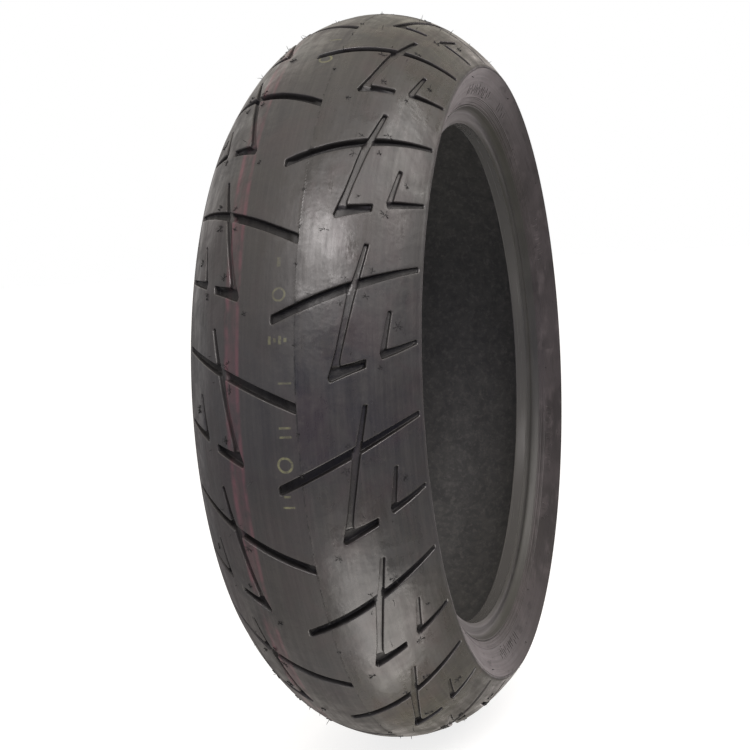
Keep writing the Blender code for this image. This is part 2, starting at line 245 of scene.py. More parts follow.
def inward(ring):
    """Unit directions into a counter-clockwise outline, lengthened at its corners."""
    before, after = sides(ring)
    before /= np.linalg.norm(before, axis=1)[:, None]
    after /= np.linalg.norm(after, axis=1)[:, None]
    na = np.stack([-before[:, 1], before[:, 0]], -1)
    nb = np.stack([-after[:, 1], after[:, 0]], -1)
    mitre = na + nb
    mitre /= np.maximum(np.linalg.norm(mitre, axis=1)[:, None], 1e-6)
    return mitre / np.maximum((mitre * na).sum(1), 0.75)[:, None]


def room_inside(ring):
    """How far each point can move in before a tight corner of the outline folds over."""
    before, after = sides(ring)
    turn = np.arctan2(before[:, 0] * after[:, 1] - before[:, 1] * after[:, 0],
                      (before * after).sum(1))
    length = (np.linalg.norm(before, axis=1) + np.linalg.norm(after, axis=1)) / 2
    room = np.where(turn > 0.03, 0.72 * length / np.maximum(turn, 0.03), 0.01)
    for _ in range(2):
        room = np.minimum(room, np.minimum(np.roll(room, 1), np.roll(room, -1)))
    for _ in range(3):
        room = np.minimum(room, (room + np.roll(room, 1) + np.roll(room, -1)) / 3)
    return room[:, None]


def inside(points, ring):
    x, y = points[:, 0:1], points[:, 1:2]
    x0, y0 = ring[:, 0][None], ring[:, 1][None]
    x1, y1 = np.roll(ring[:, 0], -1)[None], np.roll(ring[:, 1], -1)[None]
    cross = (y0 > y) != (y1 > y)
    with np.errstate(divide="ignore", invalid="ignore"):
        hit = cross & (x < x0 + (y - y0) * (x1 - x0) / (y1 - y0))
    return hit.sum(1) % 2 == 1


def distance(points, ring):
    a = ring[None]
    run = np.roll(ring, -1, axis=0)[None] - a
    rel = points[:, None] - a
    share = np.clip((rel * run).sum(2) / np.maximum((run * run).sum(2), 1e-12), 0, 1)
    return np.sqrt(((rel - run * share[..., None]) ** 2).sum(2)).min(1)


def near(spots, flags, ring, reach):
    """Numbers of the flagged points that lie within reach of an outline's box."""
    box = (spots > ring.min(0) - reach).all(1) & (spots < ring.max(0) + reach).all(1)
    return np.where(box & flags)[0]


def smooth(value, start, stop):
    t = np.clip((value - start) / (stop - start), 0.0, 1.0)
    return t * t * (3 - 2 * t)


def line_side(arc, angle, line):
    """Signed distance from a line in the laid-out tread, positive on its upper side."""
    a, b = flat(*line[0]), flat(*line[1])
    run = (b - a) / np.linalg.norm(b - a)
    return (angle * OUTER_RADIUS - a[1]) * run[0] - (arc - a[0]) * run[1]


def path_arc(path, angle):
    """Arc length of a leg's edge at each angle."""
    arcs, angles = np.array(path).T
    order = np.argsort(angles)
    return np.interp(angle, angles[order], arcs[order])


def zigzag_leg(arc, angle):
    """1 on the shallow legs of the main groove, 0 in its deep run."""
    left = path_arc(LEG_LEFT + [low(0.0486), high(0.0518)] + UPPER_LEFT[::-1], angle)
    right = path_arc(LEG_RIGHT + [low(0.0554), high(0.0572)] + UPPER_RIGHT, angle)
    leg = smooth(arc, left - 0.0008, left + 0.0004) * smooth(-arc, -right - 0.0008, -right + 0.0004)
    below = smooth(-(angle - middle(arc)), HALF_ANGLE * 1.3, HALF_ANGLE * 1.8)
    above = smooth(angle - middle(arc), HALF_ANGLE * 1.3, HALF_ANGLE * 1.8)
    return np.maximum(leg, np.maximum(below, above))


def zigzag_foot(arc, angle):
    foot = smooth(-line_side(arc, angle, STEP_LINE), -0.0002, 0.0010)
    return foot * smooth(-angle, math.radians(8.5), math.radians(9.8))


def zigzag_depth(arc, angle):
    share = np.clip((arc - CROSSING) / (OUTER_END - CROSSING), 0, 1)
    deep = MAIN_DEPTH + (TIP_DEPTH - MAIN_DEPTH) * share ** 1.2
    deep = deep * (0.62 + 0.38 * smooth(arc, LEFT_START, LEFT_START + 0.007))
    leg, foot = zigzag_leg(arc, angle), zigzag_foot(arc, angle)
    depth = deep * (1 - leg) + CROSS_DEPTH * leg
    return depth * (1 - foot) + FOOT_DEPTH * foot


# Painted shade in the main groove: 1 in its deep run and its foot, 0 on its shallow legs.
def zigzag_dark(arc, angle):
    return 1 - zigzag_leg(arc, angle) * (1 - zigzag_foot(arc, angle))


def hook_leg(arc, angle):
    leg = smooth(line_side(arc, angle, HOOK_LINE), -0.0006, 0.0006)
    return leg * smooth(-arc, -0.0850, -0.0835)


def hook_depth(arc, angle):
    share = np.clip((arc - 0.078) / (OUTER_END - 0.078), 0, 1)
    deep = HOOK_DEPTH + (TIP_DEPTH * 0.9 - HOOK_DEPTH) * share
    leg = hook_leg(arc, angle)
    return deep * (1 - leg) + HOOK_LEG_DEPTH * leg


# Painted shade in the hook: 1 in its deep run, 0 on its shallow leg.
def hook_dark(arc, angle):
    return 1 - hook_leg(arc, angle)


def land_rise(arc, angle):
    """Height of the fine moulded details on the tread surface."""
    wave = 0.00012 * np.sin(angle * 37.0) + 0.00008 * np.sin(angle * 83.0 + 1.0)
    off = np.abs(arc - PARTING_ARC - wave)
    ridge = MOULD_RIDGE * (1 - smooth(off, 0.00012, 0.00045))
    step = MOULD_STEP * smooth(arc, PARTING_ARC - 0.0004, PARTING_ARC + 0.0004)
    return ridge + step


# Rings of a groove from its lip to its floor: (inward shift, added depth, share of the full
# depth, painted shade in a deep groove, painted shade on a shallow leg, painted highlight on the
# lip).
RINGS = (
    (-0.00066, 0.0, 0.0, 0.0, 0.0, 0.0), (-0.00038, 0.00004, 0.0, 0.0, 0.0, 0.6),
    (-0.00014, 0.00016, 0.0, 0.0, 0.0, 1.0), (0.00004, 0.00040, 0.0, 0.45, 0.25, 0.7),
    (0.00016, -0.0005, 0.60, 1.0, 0.75, 0.0), (0.00030, -0.00055, 1.0, 1.0, 0.90, 0.0),
    (0.00046, -0.00022, 1.0, 1.0, 0.85, 0.0), (0.00078, -0.00003, 1.0, 1.0, 0.60, 0.0),
    (0.00105, 0.0, 1.0, 1.0, 0.30, 0.0),
)
# Line between two pitches, (arc, degrees), which runs clear of the grooves.
SEAM = [(-EDGE_ARC, 19.25), (-0.030, 19.25), (-0.020, 19.25), (-0.008, 13.0), (0.002, 10.0),
        (0.012, 8.35), (0.022, 8.0), (EDGE_ARC, 8.0)]


def seam_angle(arc):
    return np.radians(np.interp(arc, *np.array(SEAM).T))


def triangulate(points, edges):
    verts = [Vector((float(x), float(y))) for x, y in points]
    _, _, faces, origin, *_ = delaunay_2d_cdt(verts, edges, [], 0, 1e-7)
    source = [ids[0] if ids else -1 for ids in origin]
    tris = np.array([[source[i] for i in face] for face in faces])
    return tris[(tris >= 0).all(1)]


def loop(count):
    return [(i, (i + 1) % count) for i in range(count)]


def tread_pitch():
    """One pitch of both halves: points, depths, land flags, painted shade and highlight, triangles,
    seams, rims.
    """
    grooves = []
    for side, lag, start, sharp in ((1, 0.0, LEFT_START, False), (-1, 0.5, RIGHT_START, True)):
        for body, rule, dark in ((zigzag(start, sharp), zigzag_depth, zigzag_dark),
                                 (corners(HOOK), hook_depth, hook_dark)):
            ring = rounded(body)
            shift = inward(ring)
            room = room_inside(ring)
            stack = []
            for move, drop, share, deep_shade, leg_shade, lip_highlight in RINGS:
                spot = ring + shift * np.minimum(move, room)
                arc, angle = unflat(spot)
                depth = rule(arc, angle) * share + drop
                # Painted shade for this ring: full in the deep grooves, less on the shallow legs.
                deep = dark(arc, angle)
                tone = deep_shade * deep + leg_shade * (1 - deep)
                stack.append((arc, angle, depth, tone, lip_highlight))
            grooves.append((side, lag * PITCH, stack, rule, dark))
    points, depths, tris, land_flag, tones = [], [], [], [], []
    total = 0

    def put(arc, angle, depth, on_land, tone=0.0, lip_highlight=0.0):
        nonlocal total
        points.append(np.stack([arc, angle], -1))
        depths.append(np.broadcast_to(depth, len(arc)))
        land_flag.append(np.full(len(arc), on_land))
        tones.append(np.stack(np.broadcast_arrays(tone, lip_highlight, arc)[:2], -1))
        total += len(arc)
        return total - len(arc)

    land_xy, land_id, edges, holes = [], [], [], []
    for side, lag, stack, rule, dark in grooves:
        count = len(stack[0][0])
        firsts = []
        for k, (arc, angle, depth, tone, lip_highlight) in enumerate(stack):
            firsts.append(put(side * arc, angle + lag, depth, k < 2, tone, lip_highlight))
        for a, b in zip(firsts, firsts[1:]):
            i = np.arange(count)
            j = (i + 1) % count
            quad = np.concatenate([
                np.stack([a + i, a + j, b + j], -1), np.stack([a + i, b + j, b + i], -1)])
            tris.append(quad if side > 0 else quad[:, ::-1])
        floor = flat(*stack[-1][:2])
        spans = [np.arange(*span, EDGE_STEP) for span in zip(floor.min(0), floor.max(0))]
        grid = np.stack(np.meshgrid(*spans), -1).reshape(-1, 2)
        grid = grid[inside(grid, floor)]
        grid = grid[distance(grid, floor) > EDGE_STEP * 0.45]
        own = np.concatenate([floor, grid])
        faces = triangulate(own, loop(count))
        faces = faces[inside(own[faces].mean(1), floor)]
        arc, angle = unflat(grid)
        more = put(side * arc, angle + lag, rule(arc, angle), False, dark(arc, angle))
        ids = np.concatenate([firsts[-1] + np.arange(count), more + np.arange(len(grid))])
        faces = ids[faces]
        tris.append(faces if side > 0 else faces[:, ::-1])
        rim = flat(side * stack[0][0], stack[0][1] + lag)
        for turn in (-PITCH, 0.0, PITCH):
            holes.append(rim + np.array([0.0, turn * OUTER_RADIUS]))
        edges += [(len(land_id) + a, len(land_id) + b) for a, b in loop(count)]
        land_xy += list(rim)
        land_id += list(firsts[0] + np.arange(count))
    # The seam, the two tread edges and the open land between the grooves.
    columns = np.unique(np.round(np.concatenate([
        np.linspace(-EDGE_ARC, EDGE_ARC, int(2 * EDGE_ARC / LAND_STEP) + 1),
        PARTING_ARC + np.array([-0.0008, -0.0004, -0.00018, 0.00018, 0.0004, 0.0008]),
    ]), 6))
    keep = [columns[0]]
    for value in columns[1:]:
        fine = abs(value - PARTING_ARC) < 0.00085
        if value - keep[-1] > 0.0009 or (fine and value - keep[-1] > 0.00015):
            keep.append(value)
    keep[-1] = EDGE_ARC
    columns = np.array(keep)
    rows = 2 * int(PITCH * OUTER_RADIUS / LAND_STEP / 2)
    top = put(columns, seam_angle(columns), 0.0, True)
    bottom = put(columns, seam_angle(columns) - PITCH, 0.0, True)
    begin = len(land_id)
    for first, turn in ((top, 0.0), (bottom, -PITCH)):
        land_xy += list(flat(columns, seam_angle(columns) + turn))
        land_id += list(first + np.arange(len(columns)))
    size = len(columns)
    for start in (begin, begin + size):
        edges += [(i, i + 1) for i in range(start, start + size - 1)]
    share = np.arange(1, rows) / rows
    grid_arc = np.repeat(columns, rows - 1)
    spots = flat(grid_arc, seam_angle(grid_arc) - PITCH * np.tile(share, size))
    free = np.ones(len(spots), bool)
    for hole in holes:
        ids = near(spots, free, hole, 0.002)
        bad = inside(spots[ids], hole) | (distance(spots[ids], hole) < LAND_CLEARANCE)
        free[ids[bad]] = False
    free |= np.isin(grid_arc, columns[[0, -1]])
    first = put(*unflat(spots[free]), 0.0, True)
    base = len(land_id)
    kept = np.where(free)[0]
    land_xy += list(spots[free])
    land_id += list(first + np.arange(len(kept)))
    chains = []
    for column in (0, size - 1):
        rim = np.where(grid_arc == columns[column])[0]
        inner = [base + int(k) for k in np.searchsorted(kept, rim)]
        chain = [begin + column] + inner + [begin + size + column]
        edges += list(zip(chain, chain[1:]))
        chains.append([land_id[i] for i in chain])
    land_xy = np.array(land_xy)
    land_id = np.array(land_id)
    faces = triangulate(land_xy, edges)
    centre = land_xy[faces].mean(1)
    good = np.ones(len(faces), bool)
    for hole in holes:
        good &= ~inside(centre, hole)
    arc, angle = unflat(centre)
    edge = seam_angle(arc)
    good &= (angle < edge) & (angle > edge - PITCH) & (np.abs(arc) < EDGE_ARC)
    tris.append(land_id[faces[good]])
    points = np.concatenate(points)
    depths = np.concatenate(depths)
    land_flag = np.concatenate(land_flag)
    # The land swells a little towards the grooves.
    laid = flat(*points.T)
    far = np.full(len(laid), 1.0)
    for hole in holes:
        ids = near(laid, land_flag, hole, 0.009)
        far[ids] = np.minimum(far[ids], distance(laid[ids], hole))
    swell = SWELL_HEIGHT * np.exp(-(far / SWELL_REACH) ** 2) * land_flag
    return (points, depths - swell, land_flag, np.concatenate(tones), np.concatenate(tris),
            (top, bottom, size), chains)


def add_object(name, data):
    item = bpy.data.objects.new(name, data)
    bpy.context.collection.objects.link(item)
    return item


def make_mesh(name, verts, faces):
    mesh = bpy.data.meshes.new(name)
    mesh.from_pydata(np.asarray(verts).tolist(), [], faces)
    mesh.validate()
    mesh.shade_smooth()
    return add_object(name, mesh)


def build_tread():
    """The whole tread, with its edges folded under the wings and closed underneath."""
    points, depths, land, tones, tris, (top, bottom, size), chains = tread_pitch()
    keep = np.ones(len(points), bool)
    keep[bottom:bottom + size] = False
    new = np.cumsum(keep) - 1
    per = int(keep.sum())
    verts, faces = [], []
    tones = np.tile(tones[keep], (PITCHES, 1))
    for k in range(PITCHES):
        arc, angle = points[keep, 0], points[keep, 1] + PHASE + k * PITCH
        lift = np.where(land[keep], land_rise(arc, angle), 0.0)
        y, r = crown_points(arc, depths[keep] - lift)
        verts.append(spin(y, r, angle))
        ids = new + k * per
        ids[bottom:bottom + size] = new[top:top + size] + ((k - 1) % PITCHES) * per
        faces.append(ids[tris])
    verts = np.concatenate(verts)
    faces = np.concatenate(faces).tolist()
    under = np.array([WING_START, *CROWN_STATIONS])
    profile = [(0.09015, 0.2644), (0.09035, 0.2636), WING_TIP]
    profile += zip(*crown_points(under, CAP_THICKNESS))
    last_rings = []
    for side, chain in zip((-1, 1), chains):
        last = np.concatenate([new[chain[-2::-1]] + k * per for k in range(PITCHES)])
        angle = np.arctan2(verts[last][:, 2], verts[last][:, 0]) % math.tau
        order = np.argsort(np.round(angle, 6))
        last, angle = last[order], angle[order]
        for y, r in profile:
            now = len(verts) + np.arange(len(last))
            verts = np.concatenate([verts, spin(side * y, r, angle)])
            quad = np.stack([last, now, np.roll(now, -1), np.roll(last, -1)], -1)
            faces += (quad if side > 0 else quad[:, ::-1]).tolist()
            last = now
        last_rings.append(last)
    a, b = last_rings
    quad = np.stack([a, b, np.roll(b, -1), np.roll(a, -1)], -1)
    faces += quad[:, ::-1].tolist()
    tread = make_mesh("tread_skin", verts, faces)
    tones = np.concatenate([tones, np.zeros((len(verts) - len(tones), 2))])
    # The first attribute holds the painted shade inside the grooves, the second the painted
    # highlight on the groove lips.
    for column, key in enumerate(("groove", "lip_highlight")):
        layer = tread.data.attributes.new(key, "FLOAT", "POINT")
        layer.data.foreach_set("value", tones[:, column].astype(np.float32))
    return tread


# ---- turned pieces
def curve_through(points, steps=6):
    """Smooth open curve through section points (y, r), given in millimetres."""
    pts = [points[0]] + list(points) + [points[-1]]
    out = []
    for i in range(1, len(pts) - 2):
        p0, p1, p2, p3 = (np.array(pts[i + k]) for k in (-1, 0, 1, 2))
        for k in range(steps):
            t = k / steps
            out.append(0.5 * (2 * p1 + (p2 - p0) * t + (2 * p0 - 5 * p1 + 4 * p2 - p3) * t ** 2
                              + (3 * p1 - p0 - 3 * p2 + p3) * t ** 3))
    out.append(np.array(points[-1]))
    return [(float(y) / 1000, float(r) / 1000) for y, r in out]


def turned(name, section, ripple=None, sharp=50.0):
    """Closed section (y, r) turned round Y."""
    ring = np.array(section)
    if signed_area(ring) < 0:
        ring = ring[::-1]
    count = len(ring)
    y, r = np.tile(ring.T, TURN_STEPS)
    turn = np.repeat(np.arange(TURN_STEPS) * math.tau / TURN_STEPS, count)
    if ripple:
        y, r = ripple(y, r, turn)
    i = np.arange(count)
    j = (i + 1) % count
    a = np.arange(TURN_STEPS)[:, None] * count
    b = np.roll(a, -1, axis=0)
    faces = np.stack([a + i, b + i, b + j, a + j], -1).reshape(-1, 4)
    item = make_mesh(name, spin(y, r, turn), faces.tolist())
    item.data.set_sharp_from_angle(angle=math.radians(sharp))
    return item


WALL = [(90.15, 262.3), (89.1, 260.4), (87.1, 256.9), (85.05, 252.6), (82.9, 248.2),
        (80.5, 243.7), (78.2, 239.6), (76.2, 236.4), (74.6, 234.1), (73.5, 232.95)]


def wall_line():
    """Outer sidewall curve with its fine turned ribs."""
    line = np.array(curve_through(WALL, 16))
    run = np.concatenate([[0], np.cumsum(np.linalg.norm(np.diff(line, axis=0), axis=1))])
    fine = np.linspace(0, run[-1], 260)
    y, r = (np.interp(fine, run, part) for part in line.T)
    dy, dr = np.gradient(y), np.gradient(r)
    size = np.hypot(dy, dr)
    ny, nr = -dr / size, dy / size
    rise = np.zeros_like(fine)
    for at, height, width in ((0.0262, 0.00030, 0.0006),
                              (0.0278, 0.00022, 0.0004), (0.0318, -0.00030, 0.0007)):
        rise += height * (1 - smooth(np.abs(fine - at), 0.0, width))
    return list(zip(y + ny * rise, r + nr * rise))


def both_sides(section):
    return (("left", section), ("right", [(-y, r) for y, r in section]))


def build_sidewalls():
    outer = wall_line()
    inner = [(0.0690, 0.2320), (0.0757, 0.2394), (0.0742, 0.2406), (0.0727, 0.2419),
             (0.0829, 0.2528), (0.0793, 0.2640), (0.0743, 0.2704)]
    return {side: turned("sidewall_skin_" + side, part)
            for side, part in both_sides(outer + inner)}


# Rows of raised bars: (first angle in degrees, count). Bars run between stations of wall_line.
BAR_ROWS = ((81, 15), (107, 5), (148, 9), (194, 13), (218, 4), (262, 13), (318, 9), (20, 11))
BAR_SPACING = 1.25
BAR_HALF_ANGLE = 0.0027
BAR_RISE = 0.00022
BAR_FIRST = 104
BAR_OFFSETS = (0, 22, 0, 34, 10)
BAR_LAST = (186, 178, 150, 186, 168)
BAR_STATIONS = 6


def build_wall_marks():
    """Rows of plain raised bars on the walls."""
    wall = np.array(wall_line())
    slope = np.gradient(wall, axis=0)
    slope /= np.linalg.norm(slope, axis=1)[:, None]
    verts, faces = [], []
    for side in (1, -1):
        for start, count in BAR_ROWS:
            for k in range(count):
                middle_angle = math.radians(start + k * BAR_SPACING)
                first, last = BAR_FIRST + BAR_OFFSETS[k % 5], BAR_LAST[k % 5]
                base = len(verts)
                for j, at in enumerate(np.linspace(first, last, BAR_STATIONS).astype(int)):
                    rise = -0.00006 if j in (0, BAR_STATIONS - 1) else BAR_RISE
                    out = np.array([-slope[at][1], slope[at][0]])
                    for share, lift in ((-1.0, -0.00015), (-0.7, rise), (0.7, rise),
                                        (1.0, -0.00015)):
                        y, r = wall[at] + out * lift
                        verts.append(spin(side * y, r, middle_angle + share * BAR_HALF_ANGLE))
                for j in range(BAR_STATIONS - 1):
                    for c in range(4):
                        a, b = base + 4 * j + c, base + 4 * j + (c + 1) % 4
                        face = (a, b, b + 4, a + 4)
                        faces.append(face if side > 0 else face[::-1])
                end = base + 4 * (BAR_STATIONS - 1)
                caps = [(base + 3, base + 2, base + 1, base), (end, end + 1, end + 2, end + 3)]
                faces += caps if side > 0 else [cap[::-1] for cap in caps]
    return make_mesh("wall_marks", verts, faces)


def build_chafers():
    outer = curve_through([
        (69.5, 231.5), (71.6, 232.25), (72.75, 232.55), (73.25, 232.25), (73.1, 231.6),
        (71.8, 230.95), (69.6, 229.85), (67.7, 228.35), (66.75, 227.0), (66.5, 225.6),
        (66.5, 222.6), (66.3, 221.0), (65.5, 219.4), (64.55, 218.35), (64.2, 217.75),
        (63.75, 217.72), (63.3, 218.0), (61.5, 217.85), (58.0, 217.5), (55.0, 217.2),
        (53.9, 217.2), (53.2, 217.75), (53.0, 219.2), (53.3, 221.2), (54.3, 224.3),
        (55.2, 226.3), (56.6, 226.95)], 5)
    inner = [(0.0562, 0.2240), (0.0550, 0.2187), (0.0642, 0.2187), (0.0643, 0.2265)]
    return {side: turned("chafer_skin_" + side, part) for side, part in both_sides(outer + inner)}


LINER_DEPTH = 0.0146


def build_liner():
    """Liner with a soft waviness, so that its sheen breaks up as moulded rubber does."""
    arcs = np.linspace(0.0, CROWN_STATIONS[0], 15)
    y, r = crown_points(arcs, LINER_DEPTH)
    crown = [(float(a) * 1000, float(b) * 1000) for a, b in zip(y, r)]
    side = crown + [(70.8, 267.2), (76.0, 261.8), (78.2, 257.6), (78.3, 253.6), (75.9, 249.4),
                    (69.8, 243.7), (62.9, 237.4), (58.0, 232.7), (56.1, 230.4), (55.4, 228.2)]
    inner = curve_through(side, 3)
    back = [(0.0567, 0.2277), (0.0575, 0.2305), (0.0708, 0.2427), (0.0807, 0.2532),
            (0.0777, 0.2628), (0.0648, 0.2743), (0.0488, 0.2880), (0.0302, 0.2971),
            (0.0103, 0.3017)]
    section = inner[1:] + back
    section += [(-y, r) for y, r in section[::-1]]

    def ripple(y, r, turn):
        wave = 0.00022 * np.sin(turn * 23 + 90 * y) * np.cos(y * 260 + 2 * np.sin(turn * 3))
        wave += 0.00035 * np.exp(-((np.mod(turn - 2.35 + y * 3, math.tau) - 0.02) / 0.006) ** 2)
        return y, r - wave * (r < 0.301)

    return turned("liner_skin", section, ripple, 60.0)


# Vent stubs of one pitch, (arc in mm, degrees), and the sides of a stub.
STUB_SPOTS = ((46.5, 0.9), (66.5, 2.4), (62.0, -1.3), (43.5, -2.4), (51.5, -9.3), (73.0, -11.2),
              (29.5, -14.8), (87.5, -5.2))
STUB_SIDES = 8
WALL_STUBS = 24


def build_stubs():
    """Vent stubs left by the mould beside the grooves, along the mould line and on the walls."""
    rng = random.Random(7)
    verts, faces = [], []

    def stub(base, out, tall, wide, star=0.0):
        """A short bent stub; star is the reach of the torn flash round its foot."""
        lean = Vector([rng.uniform(-0.7, 0.7), rng.uniform(-0.7, 0.7), rng.uniform(-1.4, 1.4)])
        out = Vector(out)
        axis = (out + lean * 0.45).normalized()
        across = out.orthogonal().normalized()
        other = out.cross(across)
        first = len(verts)
        rings = ((-0.0003, 1.5), (0.0001, 1.2), (0.0004, 1.0), (tall * 0.35, 0.85),
                 (tall * 0.7, 0.7), (tall, 0.4))
        for height, size in rings:
            bend = lean * (height / 0.004) ** 2 * 0.0012
            for k in range(STUB_SIDES):
                a = k * math.tau / STUB_SIDES
                ray = across * math.cos(a) + other * math.sin(a)
                verts.append(Vector(base) + axis * height + bend + ray * wide * size)
        for ring in range(len(rings) - 1):
            start = first + ring * STUB_SIDES
            for k in range(STUB_SIDES):
                a, b = start + k, start + (k + 1) % STUB_SIDES
                faces.append((a, b, b + STUB_SIDES, a + STUB_SIDES))
        top = first + (len(rings) - 1) * STUB_SIDES
        faces.append([top + k for k in range(STUB_SIDES)])
        faces.append([first + STUB_SIDES - 1 - k for k in range(STUB_SIDES)])
        if star:
            turn = rng.uniform(0, math.tau)
            for k in range(rng.randint(5, 7)):
                a = turn + k * math.tau / 6 + rng.uniform(-0.4, 0.4)
                ray = across * math.cos(a) + other * math.sin(a)
                edge = out.cross(ray)
                reach = star * rng.uniform(0.55, 1.2)
                foot, tip = Vector(base) - out * 0.0002, Vector(base) + ray * reach
                tip += out * rng.uniform(0.0002, 0.0012)
                peak = Vector(base) + ray * reach * 0.45 + out * 0.0006
                n = len(verts)
                verts.extend([foot + edge * 0.00015, foot - edge * 0.00015, tip, peak,
                              foot + ray * reach * 0.9])
                faces.extend([(n, n + 3, n + 2), (n + 3, n + 1, n + 2), (n, n + 1, n + 3),
                              (n + 1, n + 4, n + 2), (n + 4, n, n + 2), (n, n + 4, n + 1)])

    def on_tread(arc, angle, tall, wide=0.00026, star=0.0):
        y, r = crown_points(arc, 0.0)
        stub(spin(y, r, angle), crown_normals(arc, angle), tall, wide, star)

    for k in range(PITCHES):
        for side, lag in ((1, 0.0), (-1, 0.5)):
            turn = PHASE + (k + lag) * PITCH
            for arc, angle in STUB_SPOTS:
                tall = rng.choice((0.0014, 0.0022, 0.0030, 0.0040))
                star = rng.choice((0.0, 0.0024, 0.0034, 0.0042))
                on_tread(side * arc / 1000, math.radians(angle) + turn, tall, star=star)
        for share in (0.12, 0.37, 0.62, 0.87):
            spot = PARTING_ARC + rng.uniform(-0.0004, 0.0004)
            on_tread(spot, PHASE + (k + share) * PITCH + rng.uniform(-0.01, 0.01),
                     rng.choice((0.0006, 0.0010, 0.0022)), 0.00032, rng.choice((0.0, 0.0020)))
    wall = wall_line()
    for k in range(WALL_STUBS):
        angle = (k + 0.3) * math.tau / WALL_STUBS
        y, r = wall[round(len(wall) * (0.18 if k % 2 else 0.72))]
        for side in (1, -1):
            out = spin(side * 0.9, -0.3, angle)
            stub(spin(side * y, r, angle), out, rng.choice((0.0006, 0.0010, 0.0018)), 0.00035)
    return make_mesh("vent_stubs", [tuple(v) for v in verts], faces)


# ---- materials
class Nodes:
    """Short way to write a material's node tree."""

    def __init__(self, name):
        if isinstance(name, str):
            self.mat = bpy.data.materials.new(name)
            self.mat.use_nodes = True
            self.tree = self.mat.node_tree
            self.shader = self.tree.nodes["Principled BSDF"]
            self.place = self.tree.nodes.new("ShaderNodeTexCoord").outputs["Object"]
        else:
            self.tree = name
            self.place = self.tree.nodes.new("ShaderNodeTexCoord").outputs["Generated"]
        split = self.add("ShaderNodeSeparateXYZ", self.place)
        self.x, self.y, self.z = split.outputs
        self.angle = self.math("ARCTAN2", self.z, self.x)
        self.radius = self.length(self.x, self.z)

    def add(self, kind, *values, **settings):
        node = self.tree.nodes.new(kind)
        for key, value in settings.items():
            setattr(node, key, value)
        for socket, value in zip(node.inputs, values):
            self.put(socket, value)
        return node

    def put(self, socket, value):
        if isinstance(value, bpy.types.NodeSocket):
            self.tree.links.new(value, socket)
        elif value is not None:
            socket.default_value = (*value, 1.0) if socket.type == "RGBA" else value

    def fill(self, node, **values):
        """Put values into a node's inputs by name."""
        for key, value in values.items():
            self.put(node.inputs[key.replace("_", " ")], value)
        return node

    def math(self, kind, *values):
        return self.add("ShaderNodeMath", *values, operation=kind).outputs[0]

    def times(self, a, b):
        return self.math("MULTIPLY", a, b)

    def plus(self, a, b):
        return self.math("ADD", a, b)

    def minus(self, a, b):
        return self.math("SUBTRACT", a, b)

    def size(self, value):
        return self.math("ABSOLUTE", value)

    def length(self, a, b):
        return self.math("SQRT", self.plus(self.times(a, a), self.times(b, b)))

    def noise(self, scale, detail=3.0, rough=0.55, warp=0.0, place=None):
        node = self.add("ShaderNodeTexNoise", self.place if place is None else place)
        self.fill(node, Scale=scale, Detail=detail, Roughness=rough, Distortion=warp)
        return node.outputs[0]

    def ramp(self, value, low_in, high_in, low_out=0.0, high_out=1.0):
        return self.add("ShaderNodeMapRange", value, low_in, high_in, low_out, high_out,
                        interpolation_type="SMOOTHSTEP").outputs[0]

    def mix(self, share, a, b):
        node = self.add("ShaderNodeMix", data_type="RGBA")
        for index, value in ((0, share), (6, a), (7, b)):
            self.put(node.inputs[index], value)
        return node.outputs[2]

    def stretched(self, across, along):
        """Coordinates that run in circles round the tyre, for marks left by turning."""
        return self.add("ShaderNodeCombineXYZ", self.times(self.y, across),
                        self.times(self.radius, across), self.times(self.angle, along)).outputs[0]

    def streaks(self, across, along, *values):
        return self.noise(1.0, *values, place=self.stretched(across, along))

    def bump(self, height, strength, distance, before=None):
        node = self.add("ShaderNodeBump")
        self.fill(node, Strength=strength, Distance=distance, Height=height, Normal=before)
        return node.outputs[0]

    def finish(self, colour, rough, normal=None, **values):
        self.fill(self.shader, Base_Color=colour, Roughness=rough, Normal=normal, **values)
        return self.mat


def mark_offsets(n, y0, angle0):
    """Distances from the spot (y, angle) on the tread: across it and round it."""
    return n.minus(n.y, y0), n.times(n.minus(n.angle, angle0), OUTER_RADIUS)


def ring_mark(n, y0, angle0, size, line):
    """1 on a thin ring painted on the tread, else 0."""
    off = n.size(n.minus(n.length(*mark_offsets(n, y0, angle0)), size))
    return n.ramp(off, line * 0.35, line * 0.65, 1.0, 0.0)


def bar_mark(n, y0, angle0, wide, tall):
    """1 on a bar painted on the tread, else 0."""
    across, along = mark_offsets(n, y0, angle0)
    soft = 0.0003
    return n.times(n.ramp(n.size(across), wide / 2 - soft, wide / 2 + soft, 1.0, 0.0),
                   n.ramp(n.size(along), tall / 2 - soft, tall / 2 + soft, 1.0, 0.0))


# Ink marks: y, degrees, radius and line of a ring or width and height of a bar, strength.
RING_MARKS = ((0.000, -6.1, 0.0052, 0.0017, 1.0), (-0.001, 16.2, 0.0045, 0.0015, 0.55),
              (0.001, 57.0, 0.0048, 0.0016, 0.8))
BAR_MARKS = ((0.002, -1.2, 0.009, 0.0016, 0.8), (0.002, -2.4, 0.009, 0.0016, 0.8),
             (-0.001, -10.4, 0.005, 0.0016, 1.0), (-0.001, -11.9, 0.009, 0.0015, 1.0),
             (0.0035, 4.6, 0.010, 0.0014, 0.5), (-0.002, 20.6, 0.003, 0.007, 0.35),
             (-0.0075, 10.2, 0.0022, 0.0060, 0.6), (-0.0035, 10.2, 0.0022, 0.0030, 0.6),
             (0.0005, 10.2, 0.0022, 0.0060, 0.6), (0.0045, 10.2, 0.0022, 0.0030, 0.6),
             (0.0, 63.5, 0.010, 0.0016, 0.8))


